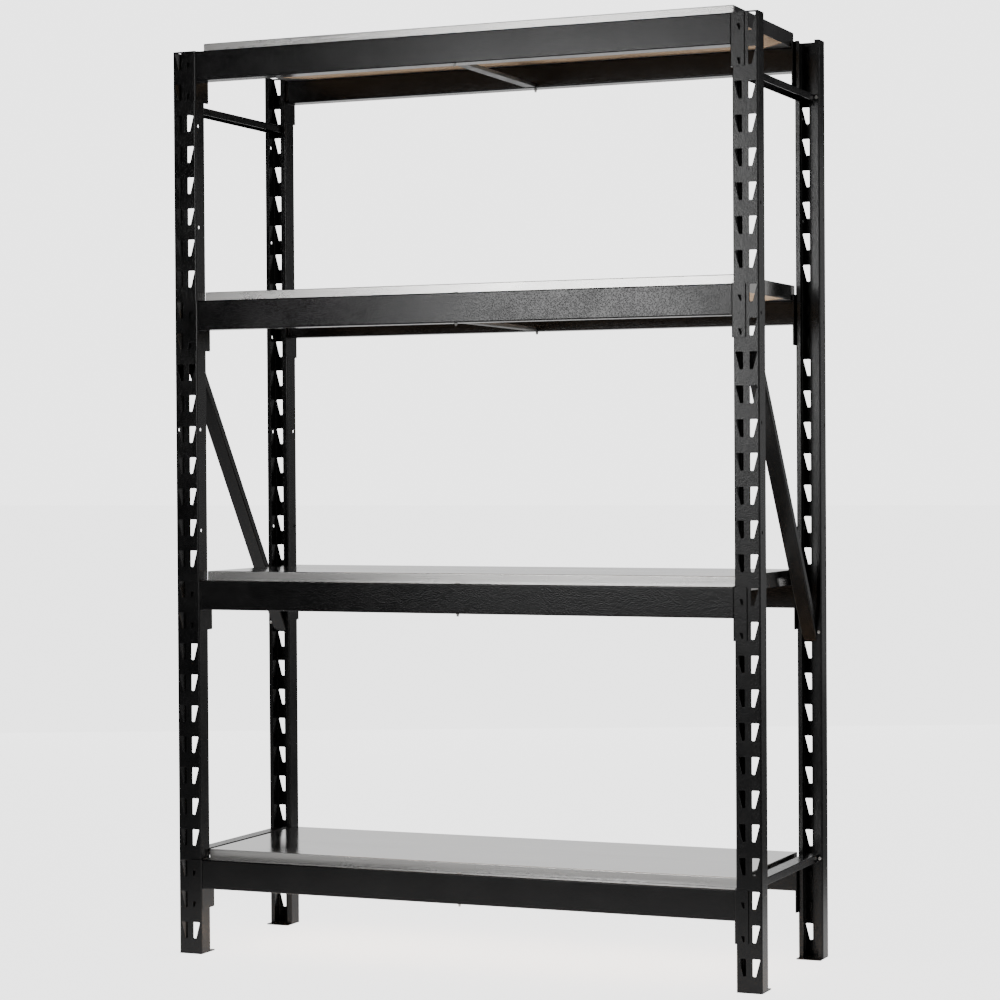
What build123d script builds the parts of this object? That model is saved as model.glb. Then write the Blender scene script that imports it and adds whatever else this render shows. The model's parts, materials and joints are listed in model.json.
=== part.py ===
from build123d import *
import math
import os

os.makedirs("parts", exist_ok=True)

# Boltless steel shelving, four levels.  Millimetres, +X to the right, +Y to the rear, +Z up.
# The origin is on the floor, in the middle of the rack.

# Overall size, over the faces of the uprights.
WIDTH = 1240.0
DEPTH = 433.0
HEIGHT = 1829.0

# Uprights: roll-formed C, slotted web outwards, mouth and lips inwards.
POST_WIDTH = 50.8
POST_DEPTH = 38.1
POST_SHEET = 1.5
POST_BEND = 3.0
POST_LIP = 9.8

# Tapered slots in the web: two columns of twenty-nine.
SLOT_COUNT = 29
SLOT_PITCH = 62.9
SLOT_FIRST_TOP = 64.6
SLOT_HEIGHT = 33.0
SLOT_INNER = 6.5
SLOT_TOP_WIDTH = 15.0
SLOT_FOOT_WIDTH = 6.3
SLOT_TOP_RADIUS = 1.8
SLOT_FOOT_RADIUS = 1.5

# Round holes in both flanges of each upright.
FLANGE_HOLE_DIAMETER = 7.0
FLANGE_HOLE_FROM_WEB = 12.5
FLANGE_HOLE_TOP = 1678.3
FLANGE_HOLE_PITCH = 204.6
FLANGE_HOLE_COUNT = 5

# Foot plates, welded under the uprights and reaching past the mouth.
FOOT_SHEET = 2.0
FOOT_REACH = 18.0
FOOT_CORNER = 2.5

# Braces of the two end frames: small channels that pass through the mouths.
BRACE_WIDTH = 30.4
BRACE_HEIGHT = 14.5
BRACE_SHEET = 1.5
BRACE_BEND = 2.2
BRACE_REACH = 196.0
BRACE_TOP_Z = 1714.2
BRACE_FOOT_Z = 201.8
DIAGONAL_MID_Z = 924.0
DIAGONAL_FALL = 1.5015
DIAGONAL_REACH = 190.0
EAR_WIDTH = 8.6
EAR_HEIGHT = 10.0

# Screws through the outer lips into the ears of the braces.
SCREW_DIAMETER = 4.0
SCREW_HOLE_DIAMETER = 4.3
SCREW_HEAD_DIAMETER = 7.0
SCREW_HEAD_HEIGHT = 2.4
SCREW_HEAD_ROUND = 1.5
SCREW_LENGTH = 7.5
SCREW_FROM_FLANGE = 6.2
SOCKET_WIDTH = 3.0
SOCKET_DEPTH = 1.2

# Levels, bottom to top: number of the upper slot that carries each end plate.
LEVEL_SLOTS = (2, 11, 20, 28)

# Beams: closed step tube; heights are measured from the top of the upper slot.
BEAM_TOP = 2.0
BEAM_HEIGHT = 59.0
BEAM_SHEET = 1.5
BEAM_BEND = 2.5
STEP_BEND = 1.0
LEDGE_DEPTH = 26.0
STEP_DROP = 11.3

# End plates welded on the beam ends: front leaf with two hollow lugs that hook down behind the web.
PLATE_SHEET = 2.5
PLATE_HEIGHT = 101.0
PLATE_GAP = 0.2
PLATE_SIDE_GAP = 0.3
PLATE_SHORT_OF_MIDDLE = 0.8
PLATE_SIDE_REACH = 49.4
PLATE_BEND = 3.0
PLATE_CORNER = 3.0
HOOK_HEIGHT = 14.0
HOOK_LENGTH = 6.5
HOOK_DROP = 7.0
HOOK_PLAY = 0.4
HOOK_WALL = 1.1
HOOK_BEVEL = 1.5
HOOK_WIDTH = 2.6

# Tie bar between the two beams of a level and the pins that hold it.
TIE_WIDTH = 24.0
TIE_HEIGHT = 7.0
TIE_SHEET = 1.5
TIE_BEND = 1.2
TIE_SHORT = 2.0
TIE_PLAY = 0.3
PIN_DIAMETER = 6.0
PIN_HOLE_DIAMETER = 6.3
PIN_FROM_FACE = 9.0
PIN_HEAD_DIAMETER = 10.0
PIN_HEAD_HEIGHT = 1.6
PIN_HEAD_BEVEL = 1.2
PIN_TIP = 5.5
PIN_TIP_TAPER = 4.5
PIN_TIP_DIAMETER = 4.0

# Decks: folded steel skin over a particle board.
DECK_PLAY_X = 1.9
DECK_PLAY_Y = 1.2
DECK_HEIGHT = 30.0
SKIN_SHEET = 0.7
SKIN_BEND = 2.2
SKIN_TOP_BEND = 1.6
HEM_WIDTH = 11.0
FLAP_LEG = 75.0
BOARD_PLAY = 0.3

HALF_X = WIDTH / 2
HALF_Y = DEPTH / 2
POST_X = HALF_X - POST_WIDTH / 2
POST_Y = HALF_Y - POST_DEPTH / 2
POST_INNER_X = HALF_X - POST_WIDTH
MOUTH_Y = HALF_Y - POST_DEPTH
MOUTH_WIDTH = POST_WIDTH - 2 * POST_LIP
PLATE_OUTER_X = POST_INNER_X - PLATE_SIDE_GAP
PLATE_INNER_X = PLATE_OUTER_X - PLATE_SHEET
PLATE_END_X = POST_X - PLATE_SHORT_OF_MIDDLE
PLATE_BACK_Y = HALF_Y + PLATE_GAP
PLATE_FACE_Y = PLATE_BACK_Y + PLATE_SHEET
PLATE_REACH_Y = HALF_Y - PLATE_SIDE_REACH
HOOK_X = POST_X - SLOT_INNER - SLOT_FOOT_WIDTH / 2
HOOK_FACE_Y = HALF_Y - POST_SHEET - HOOK_PLAY
BEAM_INNER_Y = HALF_Y - POST_DEPTH
STEP_Y = HALF_Y - LEDGE_DEPTH
DECK_HALF_X = PLATE_INNER_X - DECK_PLAY_X
DECK_HALF_Y = STEP_Y - DECK_PLAY_Y
PIN_Y = HALF_Y - PIN_FROM_FACE
SCREW_X = HALF_X - SCREW_FROM_FLANGE
EAR_Y = MOUTH_Y + POST_SHEET + BRACE_SHEET / 2
SIDES = {"left": -1, "right": 1}
ENDS = {"front": -1, "rear": 1}


def slot_top(index):
    """Height of the top edge of one slot, counted from the floor."""
    return SLOT_FIRST_TOP + index * SLOT_PITCH


def brace_heights(end):
    """Heights of the three brace ends in one upright: top, diagonal, bottom."""
    diagonal = DIAGONAL_MID_Z - DIAGONAL_FALL * end * EAR_Y
    return (BRACE_TOP_Z, diagonal, BRACE_FOOT_Z)


def slot_cutter():
    """Two tapered slots side by side, their top edge at height zero."""
    with BuildPart() as cutter:
        with BuildSketch(Plane.XZ) as outline:
            for side in SIDES.values():
                with BuildLine():
                    Polyline(
                        (side * SLOT_INNER, 0),
                        (side * (SLOT_INNER + SLOT_TOP_WIDTH), 0),
                        (side * (SLOT_INNER + SLOT_FOOT_WIDTH), -SLOT_HEIGHT),
                        (side * SLOT_INNER, -SLOT_HEIGHT),
                        close=True,
                    )
                make_face()
            corners = outline.vertices().group_by(Axis.Z)
            fillet(corners[-1], SLOT_TOP_RADIUS)
            corners = outline.vertices().group_by(Axis.Z)
            fillet(corners[0], SLOT_FOOT_RADIUS)
        extrude(amount=POST_SHEET, both=True)
    return cutter.part


def upright(side, end):
    """C-section upright with its slots, flange holes and screw holes."""
    hole_y = end * (HALF_Y - FLANGE_HOLE_FROM_WEB)
    with BuildPart() as post:
        with BuildSketch(Plane.XY.offset(FOOT_SHEET)):
            with Locations((side * POST_X, end * POST_Y)):
                RectangleRounded(POST_WIDTH, POST_DEPTH, POST_BEND)
                RectangleRounded(
                    POST_WIDTH - 2 * POST_SHEET,
                    POST_DEPTH - 2 * POST_SHEET,
                    POST_BEND - POST_SHEET,
                    mode=Mode.SUBTRACT,
                )
            with Locations((side * POST_X, end * MOUTH_Y)):
                Rectangle(MOUTH_WIDTH, 4 * POST_SHEET, mode=Mode.SUBTRACT)
        extrude(amount=HEIGHT - FOOT_SHEET)
        cutter = slot_cutter()
        rows = [(side * POST_X, end * HALF_Y, slot_top(i)) for i in range(SLOT_COUNT)]
        with Locations(*rows):
            add(cutter, mode=Mode.SUBTRACT)
        with BuildSketch(Plane.YZ.offset(side * (POST_INNER_X - POST_SHEET))):
            for index in range(FLANGE_HOLE_COUNT):
                with Locations((hole_y, FLANGE_HOLE_TOP - index * FLANGE_HOLE_PITCH)):
                    Circle(FLANGE_HOLE_DIAMETER / 2)
        extrude(amount=side * (POST_WIDTH + 2 * POST_SHEET), mode=Mode.SUBTRACT)
        with BuildSketch(Plane.XZ.offset(-end * (MOUTH_Y - POST_SHEET))):
            for height in brace_heights(end):
                with Locations((side * SCREW_X, height)):
                    Circle(SCREW_HOLE_DIAMETER / 2)
        extrude(amount=-end * 3 * POST_SHEET, mode=Mode.SUBTRACT)
    return post.part


def foot(side, end):
    """Foot plate under one upright, longer than the upright is deep."""
    length = POST_DEPTH + FOOT_REACH
    with BuildPart() as plate:
        with BuildSketch(Plane.XY):
            with Locations((side * POST_X, end * (HALF_Y - length / 2))):
                RectangleRounded(POST_WIDTH, length, FOOT_CORNER)
        extrude(amount=FOOT_SHEET)
    return plate.part


def channel_face():
    """Channel outline in the open sketch, web at the top and open below."""
    inner_width = BRACE_WIDTH - 2 * BRACE_SHEET
    inner_height = 2 * BRACE_HEIGHT - 2 * BRACE_SHEET
    with Locations((0, -BRACE_HEIGHT / 2)):
        RectangleRounded(BRACE_WIDTH, 2 * BRACE_HEIGHT, BRACE_BEND)
        RectangleRounded(inner_width, inner_height, BRACE_BEND - BRACE_SHEET, mode=Mode.SUBTRACT)
    with Locations((0, -BRACE_HEIGHT)):
        Rectangle(BRACE_WIDTH, BRACE_HEIGHT, mode=Mode.SUBTRACT)


def ears(side, heights):
    """Ears at both ends, bent outwards behind the outer lips, each with its screw hole."""
    ear_x = side * (POST_X + BRACE_WIDTH / 2 - BRACE_SHEET + EAR_WIDTH / 2)
    for end, height in heights.items():
        with Locations((ear_x, end * EAR_Y, height)):
            Box(EAR_WIDTH, BRACE_SHEET, EAR_HEIGHT)
        with Locations(Location((side * SCREW_X, end * EAR_Y, height), (90, 0, 0))):
            Cylinder(SCREW_HOLE_DIAMETER / 2, 2 * BRACE_SHEET, mode=Mode.SUBTRACT)


def level_brace(side, height):
    """Horizontal brace of an end frame."""
    with BuildPart() as brace:
        with BuildSketch(Plane.XZ):
            with Locations((side * POST_X, height)):
                channel_face()
        extrude(amount=BRACE_REACH, both=True)
        ears(side, {-1: height, 1: height})
    return brace.part


def diagonal_brace(side):
    """Diagonal brace, high at the front upright and low at the rear one."""
    rise = DIAGONAL_FALL * DIAGONAL_REACH
    start = (side * POST_X, -DIAGONAL_REACH, DIAGONAL_MID_Z + rise)
    run = math.hypot(2 * DIAGONAL_REACH, 2 * rise)
    with BuildPart() as brace:
        with BuildSketch(Plane(origin=start, x_dir=(1, 0, 0), z_dir=(0, 1, -DIAGONAL_FALL))):
            channel_face()
        extrude(amount=run)
        ears(side, {-1: brace_heights(-1)[1], 1: brace_heights(1)[1]})
    return brace.part


def screw(side, end, height):
    """Button-head screw with a hexagon socket, head towards the middle of the rack."""
    head_plane = Plane(
        origin=(side * SCREW_X, end * MOUTH_Y, height), x_dir=(1, 0, 0), z_dir=(0, -end, 0)
    )
    with BuildPart() as body:
        with BuildSketch(head_plane):
            Circle(SCREW_HEAD_DIAMETER / 2)
        extrude(amount=SCREW_HEAD_HEIGHT)
        fillet(body.faces().sort_by(Axis.Y)[0 if end > 0 else -1].edges(), SCREW_HEAD_ROUND)
        with BuildSketch(head_plane.offset(SCREW_HEAD_HEIGHT)):
            RegularPolygon(SOCKET_WIDTH / 2, 6, major_radius=False)
        extrude(amount=-SOCKET_DEPTH, mode=Mode.SUBTRACT)
        with BuildSketch(head_plane):
            Circle(SCREW_DIAMETER / 2)
        extrude(amount=-SCREW_LENGTH)
    return body.part


def beam(end, top):
    """Step tube along X: tall outer face, top ledge, lower step that carries the deck."""
    foot_z = top - BEAM_HEIGHT
    length = 2 * PLATE_INNER_X
    bends = (BEAM_BEND, BEAM_BEND, BEAM_BEND, STEP_BEND, BEAM_BEND, BEAM_BEND)
    with BuildPart() as tube:
        with BuildSketch(Plane.YZ.offset(-PLATE_INNER_X)):
            with BuildLine():
                FilletPolyline(
                    (end * HALF_Y, foot_z),
                    (end * HALF_Y, top),
                    (end * STEP_Y, top),
                    (end * STEP_Y, top - STEP_DROP),
                    (end * BEAM_INNER_Y, top - STEP_DROP),
                    (end * BEAM_INNER_Y, foot_z),
                    radius=bends,
                    close=True,
                )
            make_face()
            offset(amount=-BEAM_SHEET, mode=Mode.SUBTRACT)
        extrude(amount=length)
        with Locations((0, end * PIN_Y, top - BEAM_HEIGHT / 2)):
            Cylinder(PIN_HOLE_DIAMETER / 2, BEAM_HEIGHT, mode=Mode.SUBTRACT)
        slot_z = foot_z + BEAM_SHEET + TIE_HEIGHT / 2
        with Locations((0, end * BEAM_INNER_Y, slot_z)):
            Box(TIE_WIDTH + 2 * TIE_PLAY, 4 * BEAM_SHEET, TIE_HEIGHT + TIE_PLAY, mode=Mode.SUBTRACT)
    return tube.part


def lug_corners(side, rest, inset):
    """Corners of a pressed lug: its outline follows the tapered slot with a little play."""
    slant = (SLOT_TOP_WIDTH - SLOT_FOOT_WIDTH) / SLOT_HEIGHT
    inner = POST_X - SLOT_INNER - HOOK_PLAY - inset
    outer = POST_X - SLOT_INNER - SLOT_FOOT_WIDTH + HOOK_PLAY + inset
    shoulder = rest + HOOK_BEVEL + inset
    crown = rest + HOOK_HEIGHT - inset
    return [
        (side * (inner - HOOK_BEVEL), rest + inset),
        (side * inner, shoulder),
        (side * inner, crown),
        (side * (outer - slant * HOOK_HEIGHT), crown),
        (side * outer, shoulder),
        (side * (outer + HOOK_BEVEL), rest + inset),
    ]


def end_plate(side, end, upper_slot):
    """L-shaped plate on a beam end, with two hooks bent through the slots of the upright."""
    top = slot_top(upper_slot) + BEAM_TOP
    foot_z = top - PLATE_HEIGHT
    with BuildPart() as plate:
        with BuildSketch(Plane.XY.offset(foot_z)) as outline:
            with BuildLine():
                Polyline(
                    (side * PLATE_INNER_X, end * PLATE_FACE_Y),
                    (side * PLATE_END_X, end * PLATE_FACE_Y),
                    (side * PLATE_END_X, end * PLATE_BACK_Y),
                    (side * PLATE_OUTER_X, end * PLATE_BACK_Y),
                    (side * PLATE_OUTER_X, end * PLATE_REACH_Y),
                    (side * PLATE_INNER_X, end * PLATE_REACH_Y),
                    close=True,
                )
            make_face()
            bend = outline.vertices().sort_by_distance((side * PLATE_INNER_X, end * PLATE_FACE_Y, foot_z))
            fillet(bend[0], PLATE_BEND)
        extrude(amount=PLATE_HEIGHT)
        free_edges = plate.edges().filter_by(Axis.Y).group_by(Axis.X)[-1 if side > 0 else 0]
        fillet(free_edges, PLATE_CORNER)
        back_edges = plate.edges().filter_by(Axis.X).group_by(Axis.Y)[0 if end > 0 else -1]
        fillet(back_edges, PLATE_CORNER)
        for index in (upper_slot, upper_slot - 1):
            rest = slot_top(index) - SLOT_HEIGHT
            with BuildSketch(Plane.XZ.offset(-end * (PLATE_BACK_Y - HOOK_LENGTH))):
                with BuildLine():
                    Polyline(*lug_corners(side, rest, 0), close=True)
                make_face()
            extrude(amount=-end * (HOOK_LENGTH + PLATE_SHEET / 2))
            with BuildSketch(Plane.YZ.offset(side * HOOK_X)):
                with BuildLine():
                    Polyline(
                        (end * HOOK_FACE_Y, rest + HOOK_DROP),
                        (end * HOOK_FACE_Y, rest - HOOK_DROP),
                        (end * (PLATE_BACK_Y - HOOK_LENGTH + HOOK_BEVEL), rest - HOOK_DROP),
                        (end * (PLATE_BACK_Y - HOOK_LENGTH), rest - HOOK_DROP + HOOK_BEVEL),
                        (end * (PLATE_BACK_Y - HOOK_LENGTH), rest + HOOK_DROP),
                        close=True,
                    )
                make_face()
            extrude(amount=HOOK_WIDTH / 2, both=True)
            with BuildSketch(Plane.XZ.offset(-end * PLATE_FACE_Y)):
                with BuildLine():
                    Polyline(*lug_corners(side, rest, HOOK_WALL), close=True)
                make_face()
            extrude(amount=end * (PLATE_SHEET + HOOK_LENGTH - HOOK_WALL), mode=Mode.SUBTRACT)
    return plate.part


def tie_bar(top):
    """Flat channel from the front beam to the rear beam, lying on their lower walls."""
    foot_z = top - BEAM_HEIGHT + BEAM_SHEET
    reach = HALF_Y - BEAM_SHEET - TIE_SHORT
    with BuildPart() as bar:
        with BuildSketch(Plane.XZ):
            with Locations((0, foot_z + TIE_HEIGHT / 2)):
                Rectangle(TIE_WIDTH, TIE_HEIGHT)
            with Locations((0, foot_z + TIE_HEIGHT / 2 + TIE_SHEET)):
                Rectangle(TIE_WIDTH - 2 * TIE_SHEET, TIE_HEIGHT, mode=Mode.SUBTRACT)
        extrude(amount=reach, both=True)
        fillet(bar.edges().filter_by(Axis.Y).group_by(Axis.Z)[0], TIE_BEND)
        for end in ENDS.values():
            with Locations((0, end * PIN_Y, foot_z)):
                Cylinder(PIN_HOLE_DIAMETER / 2, 4 * TIE_SHEET, mode=Mode.SUBTRACT)
    return bar.part


def pin(end, top):
    """Drop-in pin with a flat round head on the ledge and a tapered tip below the beam."""
    tip_z = top - BEAM_HEIGHT - PIN_TIP
    shank_z = tip_z + PIN_TIP_TAPER
    with BuildPart() as body:
        with BuildSketch(Plane.XZ):
            with BuildLine():
                Polyline(
                    (0, tip_z),
                    (PIN_TIP_DIAMETER / 2, tip_z),
                    (PIN_DIAMETER / 2, shank_z),
                    (PIN_DIAMETER / 2, top),
                    (PIN_HEAD_DIAMETER / 2, top),
                    (PIN_HEAD_DIAMETER / 2, top + PIN_HEAD_HEIGHT / 2),
                    (PIN_HEAD_DIAMETER / 2 - PIN_HEAD_BEVEL, top + PIN_HEAD_HEIGHT),
                    (0, top + PIN_HEAD_HEIGHT),
                    close=True,
                )
            make_face()
        revolve(axis=Axis.Z)
    return body.part.moved(Location((0, end * PIN_Y, 0)))


def deck_skin(foot_z):
    """Folded sheet: top, four skirts, hems at front and rear, a flap under each corner."""
    inner_x = DECK_HALF_X - SKIN_SHEET
    inner_y = DECK_HALF_Y - SKIN_SHEET
    with BuildPart() as skin:
        with BuildSketch(Plane.XY.offset(foot_z)):
            RectangleRounded(2 * DECK_HALF_X, 2 * DECK_HALF_Y, SKIN_BEND)
        extrude(amount=DECK_HEIGHT)
        fillet(skin.faces().sort_by(Axis.Z)[-1].edges(), SKIN_TOP_BEND)
        with BuildSketch(Plane.XY.offset(foot_z + SKIN_SHEET)):
            RectangleRounded(2 * inner_x, 2 * inner_y, SKIN_BEND - SKIN_SHEET)
        extrude(amount=DECK_HEIGHT - 2 * SKIN_SHEET, mode=Mode.SUBTRACT)
        with BuildSketch(Plane.XY.offset(foot_z)) as window:
            Rectangle(2 * inner_x, 2 * (inner_y - HEM_WIDTH))
            chamfer(window.vertices(), FLAP_LEG - HEM_WIDTH)
        extrude(amount=SKIN_SHEET, mode=Mode.SUBTRACT)
    return skin.part


def deck_board(foot_z):
    """Particle board that fills the folded skin."""
    half_x = DECK_HALF_X - SKIN_SHEET - BOARD_PLAY
    half_y = DECK_HALF_Y - SKIN_SHEET - BOARD_PLAY
    with BuildPart() as board:
        with BuildSketch(Plane.XY.offset(foot_z + SKIN_SHEET)):
            RectangleRounded(2 * half_x, 2 * half_y, SKIN_BEND)
        extrude(amount=DECK_HEIGHT - 2 * SKIN_SHEET)
    return board.part


def save(name, shape):
    """Label one piece and write its file."""
    shape.label = name
    export_step(shape, "parts/" + name + ".step")


for side_name, side in SIDES.items():
    for end_name, end in ENDS.items():
        save("upright_" + end_name + "_" + side_name, upright(side, end))
        save("foot_" + end_name + "_" + side_name, foot(side, end))
    save("brace_top_" + side_name, level_brace(side, BRACE_TOP_Z))
    save("brace_bottom_" + side_name, level_brace(side, BRACE_FOOT_Z))
    save("brace_diagonal_" + side_name, diagonal_brace(side))
    screws = [screw(side, end, z) for end in ENDS.values() for z in brace_heights(end)]
    save("brace_screws_" + side_name, Compound(children=screws))

for level, upper_slot in enumerate(LEVEL_SLOTS, start=1):
    beam_top = slot_top(upper_slot) + BEAM_TOP
    deck_foot = beam_top - STEP_DROP
    for end_name, end in ENDS.items():
        save(f"beam_{level}_{end_name}", beam(end, beam_top))
        for side_name, side in SIDES.items():
            save(f"end_plate_{level}_{end_name}_{side_name}", end_plate(side, end, upper_slot))
    save(f"tie_bar_{level}", tie_bar(beam_top))
    save(f"tie_pins_{level}", Compound(children=[pin(end, beam_top) for end in ENDS.values()]))
    save(f"deck_skin_{level}", deck_skin(deck_foot))
    save(f"deck_board_{level}", deck_board(deck_foot))
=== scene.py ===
"""Boltless steel shelving: black hammered paint, brushed deck skins, particle boards, zinc hardware."""
import json
import math

import bpy
import numpy as np
from mathutils import Matrix, Vector


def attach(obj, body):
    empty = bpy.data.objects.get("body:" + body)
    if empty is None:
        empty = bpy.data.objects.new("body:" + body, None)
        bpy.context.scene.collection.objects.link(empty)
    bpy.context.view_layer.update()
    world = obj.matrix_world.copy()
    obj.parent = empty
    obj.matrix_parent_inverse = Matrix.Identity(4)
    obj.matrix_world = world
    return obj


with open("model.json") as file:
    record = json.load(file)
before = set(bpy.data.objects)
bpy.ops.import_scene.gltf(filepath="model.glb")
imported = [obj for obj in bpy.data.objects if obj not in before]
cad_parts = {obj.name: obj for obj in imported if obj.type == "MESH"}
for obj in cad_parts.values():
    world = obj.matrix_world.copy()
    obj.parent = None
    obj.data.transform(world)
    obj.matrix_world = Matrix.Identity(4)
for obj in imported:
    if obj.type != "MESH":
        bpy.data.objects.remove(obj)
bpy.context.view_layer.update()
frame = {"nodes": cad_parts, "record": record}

# Sizes of the rack, in metres.
MM = 0.001
DEPTH = 433.0 * MM
POST_DEPTH = 38.1 * MM
BEAM_HEIGHT = 59.0 * MM
LEDGE_DEPTH = 26.0 * MM
BEAM_END = 566.4 * MM
BEAM_TOPS = [z * MM for z in (192.4, 758.5, 1324.6, 1827.8)]

# Weld beads between the beams and their end plates.
BEAD_RADIUS = 1.5 * MM
FOOT_BEAD_RADIUS = 1.4 * MM
BEAD_BITE = 0.2 * MM
BEAD_RING_STEP = 0.5 * MM
BEAD_RIPPLE_PITCH = 2.2 * MM
BEAD_TAPER = 3.0 * MM
BEAD_SIDES = 10
TOP_BEAD_INSET = 4.0 * MM
INNER_BEAD_LIFT = 5.0 * MM
INNER_BEAD_DROP = 15.0 * MM
FOOT_BEAD_INSET = 5.0 * MM
FOOT_BEAD_SHORT = 4.0 * MM

# Colours of the finishes.
UPRIGHT_BLACK = (0.0012, 0.0012, 0.0014)
UPRIGHT_POOLED = (0.003, 0.003, 0.0032)
BEAM_BLACK = (0.0013, 0.0013, 0.0015)
BEAM_POOLED = (0.0034, 0.0034, 0.0036)
RUBBED_PAINT = (0.055, 0.054, 0.053)
DUST_ON_PAINT = (0.2, 0.19, 0.175)
DUST_ON_STEEL = (0.42, 0.4, 0.37)
DUST_ON_ZINC = (0.35, 0.33, 0.3)
WELD_DARK = (0.008, 0.008, 0.009)
WELD_LIGHT = (0.03, 0.03, 0.032)
DECK_STEEL = (0.78, 0.77, 0.755)
SCREW_ZINC = (0.78, 0.77, 0.75)
TIE_ZINC = (0.4, 0.4, 0.396)
PIN_ZINC = (0.74, 0.73, 0.71)
FLAKE_BROWN = (0.46, 0.29, 0.17)
FLAKE_TAN = (0.74, 0.53, 0.35)
FIBRE_PALE = (0.8, 0.6, 0.42)
SPECK_DARK = (0.2, 0.11, 0.06)
BOARD_CLOUD = (0.6, 0.42, 0.27)

# Studio: radiance of what the camera sees, and of what lights and mirrors in the rack.
BACKGROUND_SEEN = 3.2
BACKGROUND_DIM = (0.03, 0.03, 0.031)
FLOOR_SEEN = 2.95
FLOOR_LIT = 4.8
FLOOR_MIRRORED = 0.78
FLOOR_REACH = 1.85
FLOOR_HALF = 60.0

# Soft panels: place, the point that each faces, width, height and radiance.
PANELS = {
    "front_softbox": ((-1.3, -4.2, 1.72), (0.0, 0.0, 1.5), 0.92, 1.25, 8.8),
    "front_card": ((-0.75, -4.5, 1.55), (0.0, 0.0, 1.3), 2.3, 2.4, 1.1),
    "right_strip": ((4.6, -2.0, 1.2), (0.6, 0.0, 1.0), 0.7, 2.8, 2.6),
    "back_right_card": ((2.4, 4.7, 1.15), (0.6, -0.2, 1.0), 1.7, 2.0, 0.34),
    "front_right_card": ((3.6, -5.8, 2.3), (0.0, 0.0, 1.0), 4.6, 3.4, 0.7),
    "rear_right_card": ((4.7, 4.4, 1.6), (0.0, 0.0, 1.0), 2.6, 3.0, 1.2),
    "back_sweep": ((-1.9, 4.2, 1.6), (0.0, 0.0, 0.9), 4.2, 3.4, 0.95),
    "overhead": ((0.3, -0.6, 4.6), (0.0, 0.0, 0.0), 3.0, 2.4, 0.8),
}

# Camera: a long lens at the front right, a little above the middle of the rack.
CAMERA_PLACE = (2.209007, -5.167190, 0.985704)
CAMERA_YAW = 0.402974
CAMERA_PITCH = -0.014463
CAMERA_ROLL = -0.006152
CAMERA_SENSOR = 36.0
CAMERA_LENS = 100.389096
CAMERA_SHIFT = (-0.0017655, 0.0069064)
CAMERA_NEAREST = 0.05
CAMERA_FARTHEST = 300.0


# ---------------------------------------------------------------- shader helpers


def shader_node(tree, kind, settings=None, **inputs):
    """Adds one node; settings are its own properties, inputs are values or links by socket name."""
    made = tree.nodes.new(kind)
    for name, value in (settings or {}).items():
        setattr(made, name, value)
    for name, value in inputs.items():
        set_socket(tree, made.inputs[name], value)
    return made


def set_socket(tree, socket, value):
    """Links a socket when the value is another socket, and else sets it."""
    if isinstance(value, bpy.types.NodeSocket):
        tree.links.new(value, socket)
    else:
        socket.default_value = value


def effect_group(name, inputs, outputs):
    """An empty node group with named sockets; returns the tree, its inputs and its output node."""
    tree = bpy.data.node_groups.new(name, "ShaderNodeTree")
    for label, kind, value in inputs:
        socket = tree.interface.new_socket(label, in_out="INPUT", socket_type=kind)
        socket.default_value = value
    for label, kind in outputs:
        tree.interface.new_socket(label, in_out="OUTPUT", socket_type=kind)
    given = tree.nodes.new("NodeGroupInput").outputs
    out = tree.nodes.new("NodeGroupOutput").inputs
    return tree, given, out


def use_group(tree, group, inputs=None):
    """Places a node group in a material and sets its inputs by name."""
    placed = tree.nodes.new("ShaderNodeGroup")
    placed.node_tree = group
    for name, value in (inputs or {}).items():
        placed.inputs[name].default_value = value
    return placed.outputs


def maths(tree, operation, a, b):
    """One math node, returning its value."""
    made = shader_node(tree, "ShaderNodeMath", {"operation": operation})
    set_socket(tree, made.inputs[0], a)
    set_socket(tree, made.inputs[1], b)
    return made.outputs[0]


def spread(tree, value, low, high, to_low=0.0, to_high=1.0):
    """Maps a value from low..high to to_low..to_high, held at both ends."""
    made = shader_node(tree, "ShaderNodeMapRange", {"interpolation_type": "SMOOTHSTEP"}, Value=value)
    made.inputs["From Min"].default_value = low
    made.inputs["From Max"].default_value = high
    made.inputs["To Min"].default_value = to_low
    made.inputs["To Max"].default_value = to_high
    return made.outputs["Result"]


def blend_colours(tree, share, first, second):
    """Mixes two colours by a share from 0 to 1; a colour is three values or a socket."""
    made = shader_node(tree, "ShaderNodeMix", {"data_type": "RGBA"})
    tree.links.new(share, made.inputs[0])
    for socket, colour in ((made.inputs[6], first), (made.inputs[7], second)):
        set_socket(tree, socket, (*colour, 1.0) if isinstance(colour, tuple) else colour)
    return made.outputs[2]


def own_place(tree):
    """The point's place on the rack, in metres."""
    return tree.nodes.new("ShaderNodeTexCoord").outputs["Object"]


def facing_parts(tree):
    """The three parts of the direction that a surface faces."""
    facing = tree.nodes.new("ShaderNodeNewGeometry").outputs["Normal"]
    return shader_node(tree, "ShaderNodeSeparateXYZ", None, Vector=facing).outputs


def noise(tree, place, scale, detail=3.0, rough=0.55):
    """Fractal noise of one scale, as a value near 0 to 1."""
    made = shader_node(
        tree, "ShaderNodeTexNoise", None, Vector=place, Scale=scale, Detail=detail, Roughness=rough
    )
    return made.outputs["Fac"]


def stretched(tree, place, scales):
    """The place with X, Y and Z each scaled by its own amount."""
    made = shader_node(tree, "ShaderNodeMapping", {"vector_type": "POINT"}, Vector=place, Scale=scales)
    return made.outputs[0]


# ---------------------------------------------------------------- shared effects


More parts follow.
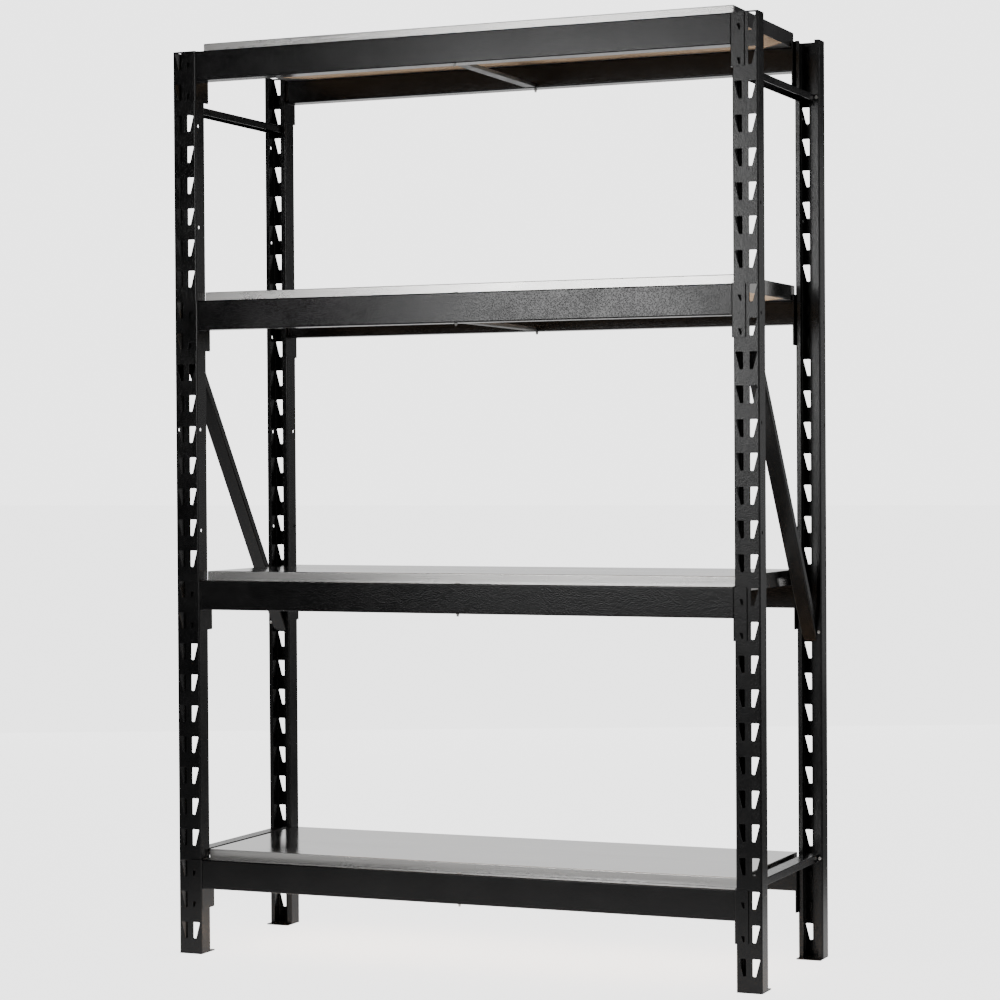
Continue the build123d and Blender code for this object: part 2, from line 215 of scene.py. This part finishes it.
def hammered_group():
    """Height of hammered powder paint: pooled cells of about 2 mm, broken by finer orange peel."""
    cell_scale, cell_softness = 430.0, 0.55
    pool_low, pool_high = 0.05, 0.62
    peel_scale, swell_scale = 900.0, 60.0
    pool_share, peel_share, swell_share = 0.62, 0.3, 0.5
    sockets = [("Height", "NodeSocketFloat"), ("Pools", "NodeSocketFloat")]
    tree, _, out = effect_group("hammered_paint", [], sockets)
    place = own_place(tree)
    cells = shader_node(
        tree,
        "ShaderNodeTexVoronoi",
        {"feature": "SMOOTH_F1"},
        Vector=place,
        Scale=cell_scale,
        Smoothness=cell_softness,
    )
    pools = spread(tree, cells.outputs["Distance"], pool_low, pool_high)
    peel = noise(tree, place, peel_scale, 2.0)
    swell = noise(tree, place, swell_scale, 2.0)
    height = maths(
        tree, "ADD", maths(tree, "MULTIPLY", pools, pool_share), maths(tree, "MULTIPLY", peel, peel_share)
    )
    height = maths(tree, "ADD", height, maths(tree, "MULTIPLY", swell, swell_share))
    tree.links.new(height, out["Height"])
    tree.links.new(pools, out["Pools"])
    return tree


def edge_group():
    """Rounded edge normal, and a broken mask along sharp edges where paint rubs thin."""
    flat_cosine, sharp_cosine = 0.995, 0.86
    patch_scale, patch_detail, patch_rough = 55.0, 4.0, 0.65
    kept_low, kept_high = -0.02, 0.12
    tree, given, out = effect_group(
        "rubbed_edges",
        [("Radius", "NodeSocketFloat", 0.8 * MM), ("Break", "NodeSocketFloat", 0.5)],
        [("Normal", "NodeSocketVector"), ("Mask", "NodeSocketFloat")],
    )
    soft = shader_node(tree, "ShaderNodeBevel", {"samples": 4}, Radius=given["Radius"])
    flat = tree.nodes.new("ShaderNodeNewGeometry").outputs["Normal"]
    together = shader_node(tree, "ShaderNodeVectorMath", {"operation": "DOT_PRODUCT"})
    tree.links.new(soft.outputs[0], together.inputs[0])
    tree.links.new(flat, together.inputs[1])
    bent = spread(tree, together.outputs["Value"], flat_cosine, sharp_cosine)
    patches = noise(tree, own_place(tree), patch_scale, patch_detail, patch_rough)
    kept = spread(tree, maths(tree, "SUBTRACT", patches, given["Break"]), kept_low, kept_high)
    tree.links.new(soft.outputs[0], out["Normal"])
    tree.links.new(maths(tree, "MULTIPLY", bent, kept), out["Mask"])
    return tree


def dust_group():
    """Soft cloudy dust that gathers on faces that look up."""
    cloud_scale, fine_scale = 9.0, 240.0
    least_upward, least_fine = 0.25, 0.4
    tree, given, out = effect_group(
        "settled_dust",
        [("Amount", "NodeSocketFloat", 0.5)],
        [("Mask", "NodeSocketFloat"), ("Cloud", "NodeSocketFloat")],
    )
    place = own_place(tree)
    cloud = noise(tree, place, cloud_scale, 5.0, 0.6)
    fine = noise(tree, place, fine_scale, 3.0, 0.7)
    upward = spread(tree, facing_parts(tree)["Z"], 0.3, 1.0, least_upward, 1.0)
    layer = maths(
        tree, "MULTIPLY", spread(tree, cloud, 0.35, 0.75), spread(tree, fine, 0.3, 0.7, least_fine, 1.0)
    )
    layer = maths(tree, "MULTIPLY", maths(tree, "MULTIPLY", layer, upward), given["Amount"])
    tree.links.new(layer, out["Mask"])
    tree.links.new(cloud, out["Cloud"])
    return tree


HAMMERED = hammered_group()
EDGES = edge_group()
DUST = dust_group()


# ---------------------------------------------------------------- finishes


def new_material(name):
    """A material with a Principled BSDF, returned with its tree and shader."""
    made = bpy.data.materials.new(name)
    made.use_nodes = True
    tree = made.node_tree
    return made, tree, tree.nodes["Principled BSDF"]


def set_normal(tree, shader, height, strength, depth, base=None):
    """Joins a bump height, over the rounded edge normal when one is given, to the shader."""
    bump = shader_node(tree, "ShaderNodeBump", None, Height=height, Strength=strength, Distance=depth)
    if base is not None:
        tree.links.new(base, bump.inputs["Normal"])
    tree.links.new(bump.outputs[0], shader.inputs["Normal"])


def paint_material(name, body, pooled, low_rough, high_rough, wear):
    """Black hammered powder paint, thinner and greyer on rubbed edges, faintly dusty."""
    edge_radius, dust_amount, pool_gloss = 0.9 * MM, 0.05, -0.05
    specular, bump_strength, bump_depth = 0.42, 0.42, 0.4 * MM
    made, tree, shader = new_material(name)
    coat = use_group(tree, HAMMERED)
    edge = use_group(tree, EDGES, {"Radius": edge_radius, "Break": wear})
    dust = use_group(tree, DUST, {"Amount": dust_amount})
    colour = blend_colours(tree, coat["Pools"], body, pooled)
    colour = blend_colours(tree, edge["Mask"], colour, RUBBED_PAINT)
    colour = blend_colours(tree, dust["Mask"], colour, DUST_ON_PAINT)
    rough = spread(tree, dust["Cloud"], 0.3, 0.72, low_rough, high_rough)
    rough = maths(tree, "ADD", rough, maths(tree, "MULTIPLY", coat["Pools"], pool_gloss))
    tree.links.new(colour, shader.inputs["Base Color"])
    tree.links.new(rough, shader.inputs["Roughness"])
    shader.inputs["Specular IOR Level"].default_value = specular
    set_normal(tree, shader, coat["Height"], bump_strength, bump_depth, edge["Normal"])
    return made


def steel_material(name, tint, smooth, grain_bump):
    """Brushed sheet steel: fine lines along X, cloudy waves, wiped smears; duller below and in front."""
    line_scales, smear_scales, wave_scales = (5.0, 1600.0, 1600.0), (3.0, 9.0, 6.0), (2.2, 5.0, 3.0)
    edge_radius, wear, dust_amount = 0.3 * MM, 0.45, 0.1
    line_shade, line_rough, smear_rough = 0.8, 0.05, 0.08
    back_rough, skirt_rough = 0.35, 0.14
    turned_from, turned_to = -0.5, -0.9
    bump_strength, bump_depth = 0.35, 1.2 * MM
    made, tree, shader = new_material(name)
    place = own_place(tree)
    lines = noise(tree, stretched(tree, place, line_scales), 1.0, 4.0, 0.7)
    smears = noise(tree, stretched(tree, place, smear_scales), 1.0, 5.0, 0.6)
    waves = noise(tree, stretched(tree, place, wave_scales), 1.0, 1.0)
    edge = use_group(tree, EDGES, {"Radius": edge_radius, "Break": wear})
    dust = use_group(tree, DUST, {"Amount": dust_amount})
    dark = tuple(c * line_shade for c in tint)
    colour = blend_colours(tree, spread(tree, lines, 0.3, 0.7), dark, tint)
    colour = blend_colours(tree, dust["Mask"], colour, DUST_ON_STEEL)
    rough = spread(tree, smears, 0.3, 0.75, smooth, smooth + smear_rough)
    rough = maths(tree, "ADD", rough, maths(tree, "MULTIPLY", lines, line_rough))
    _, across, down = facing_parts(tree)
    back = spread(tree, down, turned_from, turned_to)
    rough = maths(tree, "ADD", rough, maths(tree, "MULTIPLY", back, back_rough))
    skirt = spread(tree, across, turned_from, turned_to)
    rough = maths(tree, "ADD", rough, maths(tree, "MULTIPLY", skirt, skirt_rough))
    tree.links.new(colour, shader.inputs["Base Color"])
    tree.links.new(rough, shader.inputs["Roughness"])
    shader.inputs["Metallic"].default_value = 1.0
    height = maths(tree, "ADD", maths(tree, "MULTIPLY", lines, grain_bump), waves)
    set_normal(tree, shader, height, bump_strength, bump_depth, edge["Normal"])
    return made


def zinc_material(name, tint, smooth):
    """Zinc-plated steel with soft spangle patches, darker in the hollows of its grain."""
    spangle_scale, patch_scale, grain_scale = 260.0, 45.0, 1500.0
    edge_radius, wear, dust_amount = 0.6 * MM, 0.4, 0.2
    patch_share, spangle_share, hollow_shade = 0.6, 0.35, 0.72
    patch_rough, bump_strength, bump_depth = 0.16, 0.3, 0.3 * MM
    made, tree, shader = new_material(name)
    place = own_place(tree)
    spangle = shader_node(tree, "ShaderNodeTexVoronoi", None, Vector=place, Scale=spangle_scale)
    patch = spread(tree, noise(tree, place, patch_scale, 4.0), 0.3, 0.7)
    grain = noise(tree, place, grain_scale, 2.0)
    edge = use_group(tree, EDGES, {"Radius": edge_radius, "Break": wear})
    dust = use_group(tree, DUST, {"Amount": dust_amount})
    shade = maths(tree, "MULTIPLY", patch, patch_share)
    shade = maths(tree, "ADD", shade, maths(tree, "MULTIPLY", spangle.outputs["Color"], spangle_share))
    colour = blend_colours(tree, shade, tuple(c * hollow_shade for c in tint), tint)
    colour = blend_colours(tree, dust["Mask"], colour, DUST_ON_ZINC)
    rough = spread(tree, patch, 0.0, 1.0, smooth, smooth + patch_rough)
    tree.links.new(colour, shader.inputs["Base Color"])
    tree.links.new(rough, shader.inputs["Roughness"])
    shader.inputs["Metallic"].default_value = 1.0
    set_normal(tree, shader, maths(tree, "ADD", grain, patch), bump_strength, bump_depth, edge["Normal"])
    return made


def cell_colours(tree, place, scales):
    """Red, green and blue of random cells; scales are the cells to a metre along X, Y and Z."""
    cells = shader_node(
        tree, "ShaderNodeTexVoronoi", None, Vector=stretched(tree, place, scales), Scale=1.0
    )
    return shader_node(tree, "ShaderNodeSeparateColor", None, Color=cells.outputs["Color"]).outputs


def board_material(name):
    """Particle board: pressed flakes of several browns with dark specks, sanded but dull."""
    flake_scales, chip_scales = (210.0, 330.0, 330.0), (620.0, 480.0, 620.0)
    fibre_scales, cloud_scale = (180.0, 900.0, 900.0), 5.0
    fibre_share, speck_share, cloud_share = 0.45, 0.6, 0.3
    low_rough, high_rough = 0.62, 0.8
    bump_strength, bump_depth = 0.35, 0.4 * MM
    made, tree, shader = new_material(name)
    place = own_place(tree)
    tone = cell_colours(tree, place, flake_scales)[0]
    speck = cell_colours(tree, place, chip_scales)[1]
    cloud = noise(tree, place, cloud_scale, 4.0)
    fibre = noise(tree, stretched(tree, place, fibre_scales), 1.0, 3.0)
    colour = blend_colours(tree, tone, FLAKE_BROWN, FLAKE_TAN)
    colour = blend_colours(tree, spread(tree, fibre, 0.45, 0.75, 0.0, fibre_share), colour, FIBRE_PALE)
    colour = blend_colours(tree, spread(tree, speck, 0.82, 0.95, 0.0, speck_share), colour, SPECK_DARK)
    colour = blend_colours(tree, spread(tree, cloud, 0.3, 0.7, 0.0, cloud_share), colour, BOARD_CLOUD)
    tree.links.new(colour, shader.inputs["Base Color"])
    tree.links.new(spread(tree, tone, 0.0, 1.0, low_rough, high_rough), shader.inputs["Roughness"])
    set_normal(tree, shader, maths(tree, "ADD", tone, fibre), bump_strength, bump_depth)
    return made


def weld_material(name):
    """Painted weld: the same black paint over close ripples, a little rougher."""
    ripple_scale = 700.0
    low_rough, high_rough = 0.3, 0.5
    bump_strength, bump_depth = 0.4, 0.4 * MM
    made, tree, shader = new_material(name)
    place = own_place(tree)
    coat = use_group(tree, HAMMERED)
    ripple = noise(tree, place, ripple_scale, 2.0)
    colour = blend_colours(tree, ripple, WELD_DARK, WELD_LIGHT)
    tree.links.new(colour, shader.inputs["Base Color"])
    tree.links.new(spread(tree, ripple, 0.3, 0.7, low_rough, high_rough), shader.inputs["Roughness"])
    set_normal(tree, shader, maths(tree, "ADD", ripple, coat["Height"]), bump_strength, bump_depth)
    return made


finishes = {
    "frame_paint": paint_material("upright_paint", UPRIGHT_BLACK, UPRIGHT_POOLED, 0.2, 0.29, 0.6),
    "beam_paint": paint_material("beam_paint", BEAM_BLACK, BEAM_POOLED, 0.19, 0.28, 0.62),
    "screw_zinc": zinc_material("screw_zinc", SCREW_ZINC, 0.24),
    "tie_zinc": zinc_material("tie_bar_zinc", TIE_ZINC, 0.36),
    "pin_zinc": zinc_material("pin_zinc", PIN_ZINC, 0.28),
    "deck_steel": steel_material("deck_steel", DECK_STEEL, 0.07, 0.1),
    "particle_board": board_material("particle_board"),
}
slots = {row["node"]: row["material_slot"] for row in frame["record"]["subparts"]}
for node_name, thing in frame["nodes"].items():
    thing.data.materials.clear()
    thing.data.materials.append(finishes[slots[node_name]])


# ---------------------------------------------------------------- welds


def weld_bead(start, end, radius, outward, seed):
    """Round bead along a straight line, half sunk in the joint.

    Ring k lies at start + t (end - start), t from 0 to 1. Its radius is radius * taper * (0.9 +
    0.16 |sin(pi t length / pitch)| + wander), where taper falls close to 0 over the last 3 mm at
    both ends and wander is seeded noise.
    """
    body_size, ripple_size, wander_size, wander_knots, least_taper = 0.9, 0.16, 0.07, 12, 0.02
    start, end, outward = (np.array(v, float) for v in (start, end, outward))
    length = np.linalg.norm(end - start)
    along = (end - start) / length
    outward = outward / np.linalg.norm(outward)
    across = np.cross(along, outward)
    rings = int(length / BEAD_RING_STEP) + 1
    t = np.linspace(0.0, 1.0, rings)
    rng = np.random.default_rng(seed)
    knots = rng.normal(0.0, wander_size, wander_knots)
    wander = np.interp(t, np.linspace(0, 1, wander_knots), knots)
    from_end = np.minimum(t, 1 - t) * length
    taper = np.sqrt(np.clip(from_end / BEAD_TAPER, least_taper, 1.0))
    ripple = ripple_size * np.abs(np.sin(np.pi * t * length / BEAD_RIPPLE_PITCH))
    size = radius * taper * (body_size + ripple + wander)
    angle = np.linspace(0.0, 2 * math.pi, BEAD_SIDES, endpoint=False)
    ring = np.cos(angle)[:, None] * across + np.sin(angle)[:, None] * outward
    points = (start + np.outer(t * length, along))[:, None, :] + size[:, None, None] * ring[None]
    k, j = np.meshgrid(np.arange(rings - 1), np.arange(BEAD_SIDES), indexing="ij")
    a = k * BEAD_SIDES + j
    b = k * BEAD_SIDES + (j + 1) % BEAD_SIDES
    faces = np.stack([a, b, b + BEAD_SIDES, a + BEAD_SIDES], axis=-1).reshape(-1, 4).tolist()
    faces.append(list(range(BEAD_SIDES))[::-1])
    faces.append([(rings - 1) * BEAD_SIDES + i for i in range(BEAD_SIDES)])
    return points.reshape(-1, 3), faces


def beam_end_beads(side, face, top, seed):
    """Three beads at one beam end: on the ledge, up the inner face and under the foot."""
    x = side * (BEAM_END - BEAD_BITE)
    low = top - BEAM_HEIGHT
    outer_y = DEPTH / 2
    step_y = face * (outer_y - LEDGE_DEPTH)
    inner_y = face * (outer_y - POST_DEPTH)
    ledge_start = (x, face * (outer_y - TOP_BEAD_INSET), top)
    inner_start = (x, inner_y, low + INNER_BEAD_LIFT)
    inner_end = (x, inner_y, top - INNER_BEAD_DROP)
    foot_start = (x, face * (outer_y - FOOT_BEAD_INSET), low)
    foot_end = (x, inner_y + face * FOOT_BEAD_SHORT, low)
    return [
        weld_bead(ledge_start, (x, step_y, top), BEAD_RADIUS, (-side, 0, 1), seed),
        weld_bead(inner_start, inner_end, BEAD_RADIUS, (-side, -face, 0), seed + 3),
        weld_bead(foot_start, foot_end, FOOT_BEAD_RADIUS, (-side, 0, -1), seed + 5),
    ]


def joined_piece(name, parts, material, body):
    """One mesh object made of several closed shells, riding on a body of the rack."""
    points, faces, shift = [], [], 0
    for part_points, part_faces in parts:
        points.append(part_points)
        faces += [[i + shift for i in face] for face in part_faces]
        shift += len(part_points)
    mesh = bpy.data.meshes.new(name)
    mesh.from_pydata(np.concatenate(points).tolist(), [], faces)
    mesh.validate()
    mesh.shade_smooth()
    mesh.materials.append(material)
    made = bpy.data.objects.new(name, mesh)
    bpy.context.scene.collection.objects.link(made)
    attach(made, body)


weld_paint = weld_material("weld_paint")
for level, beam_top in enumerate(BEAM_TOPS, start=1):
    beads = []
    for side in (-1, 1):
        for face in (-1, 1):
            beads += beam_end_beads(side, face, beam_top, 100 * level + 10 * (side + 1) + face + 1)
    joined_piece(f"beam_welds_{level}", beads, weld_paint, f"shelf_{level}")


# ---------------------------------------------------------------- studio


def floor_material(name):
    """Pale floor: even white where it is looked at, and a lit pool round the rack that fades away."""
    base, matt, pool_edge = 0.5, 0.9, 0.4
    made, tree, shader = new_material(name)
    away = shader_node(tree, "ShaderNodeVectorMath", {"operation": "LENGTH"})
    tree.links.new(own_place(tree), away.inputs[0])
    fade = spread(tree, away.outputs["Value"], FLOOR_REACH * pool_edge, FLOOR_REACH, 1.0, 0.0)
    path = tree.nodes.new("ShaderNodeLightPath").outputs
    strength = spread(tree, path["Is Diffuse Ray"], 0.0, 1.0, FLOOR_MIRRORED, FLOOR_LIT)
    pool = maths(tree, "MULTIPLY", fade, strength)
    pool = shader_node(tree, "ShaderNodeCombineColor", None, Red=pool, Green=pool, Blue=pool).outputs[0]
    seen = (FLOOR_SEEN, FLOOR_SEEN, FLOOR_SEEN)
    colour = blend_colours(tree, path["Is Camera Ray"], pool, seen)
    tree.links.new(colour, shader.inputs["Emission Color"])
    shader.inputs["Emission Strength"].default_value = 1.0
    shader.inputs["Base Color"].default_value = (base, base, base, 1.0)
    shader.inputs["Roughness"].default_value = matt
    shader.inputs["Specular IOR Level"].default_value = 0.0
    return made


def studio_floor():
    """A very wide flat floor at the rack's feet."""
    corners = [(x * FLOOR_HALF, y * FLOOR_HALF, 0.0) for x, y in ((-1, -1), (1, -1), (1, 1), (-1, 1))]
    mesh = bpy.data.meshes.new("studio_floor")
    mesh.from_pydata(corners, [], [(0, 1, 2, 3)])
    mesh.materials.append(floor_material("studio_floor"))
    floor = bpy.data.objects.new("studio_floor", mesh)
    bpy.context.scene.collection.objects.link(floor)


def soft_panel(name, place, target, width, height, radiance):
    """A rectangular light that faces a target; its power is radiance times pi times its area."""
    data = bpy.data.lights.new(name, "AREA")
    data.shape = "RECTANGLE"
    data.size = width
    data.size_y = height
    data.energy = radiance * math.pi * width * height
    light = bpy.data.objects.new(name, data)
    bpy.context.scene.collection.objects.link(light)
    light.location = place
    light.rotation_euler = (Vector(target) - Vector(place)).to_track_quat("-Z", "Y").to_euler()
    light.visible_camera = False


def studio_world():
    """White where it is looked at, dim where it lights the rack."""
    world = bpy.data.worlds.new("studio")
    bpy.context.scene.world = world
    world.use_nodes = True
    tree = world.node_tree
    background = tree.nodes["Background"]
    camera = tree.nodes.new("ShaderNodeLightPath").outputs["Is Camera Ray"]
    seen = (BACKGROUND_SEEN, BACKGROUND_SEEN, BACKGROUND_SEEN)
    tree.links.new(blend_colours(tree, camera, BACKGROUND_DIM, seen), background.inputs["Color"])
    background.inputs["Strength"].default_value = 1.0


def studio_camera():
    """Camera turned by yaw about Z, then pitch upwards, then roll about its own axis."""
    ahead = Vector(
        (
            -math.sin(CAMERA_YAW) * math.cos(CAMERA_PITCH),
            math.cos(CAMERA_YAW) * math.cos(CAMERA_PITCH),
            math.sin(CAMERA_PITCH),
        )
    )
    level_right = Vector((math.cos(CAMERA_YAW), math.sin(CAMERA_YAW), 0.0))
    level_up = level_right.cross(ahead)
    right = level_right * math.cos(CAMERA_ROLL) + level_up * math.sin(CAMERA_ROLL)
    up = level_up * math.cos(CAMERA_ROLL) - level_right * math.sin(CAMERA_ROLL)
    data = bpy.data.cameras.new("camera")
    data.sensor_width = CAMERA_SENSOR
    data.lens = CAMERA_LENS
    data.shift_x, data.shift_y = CAMERA_SHIFT
    data.clip_start = CAMERA_NEAREST
    data.clip_end = CAMERA_FARTHEST
    camera = bpy.data.objects.new("camera", data)
    bpy.context.scene.collection.objects.link(camera)
    turn = Matrix((right, up, -ahead)).transposed()
    camera.matrix_world = Matrix.Translation(Vector(CAMERA_PLACE)) @ turn.to_4x4()
    bpy.context.scene.camera = camera


studio_floor()
studio_world()
studio_camera()
for panel_name, row in PANELS.items():
    soft_panel(panel_name, *row)
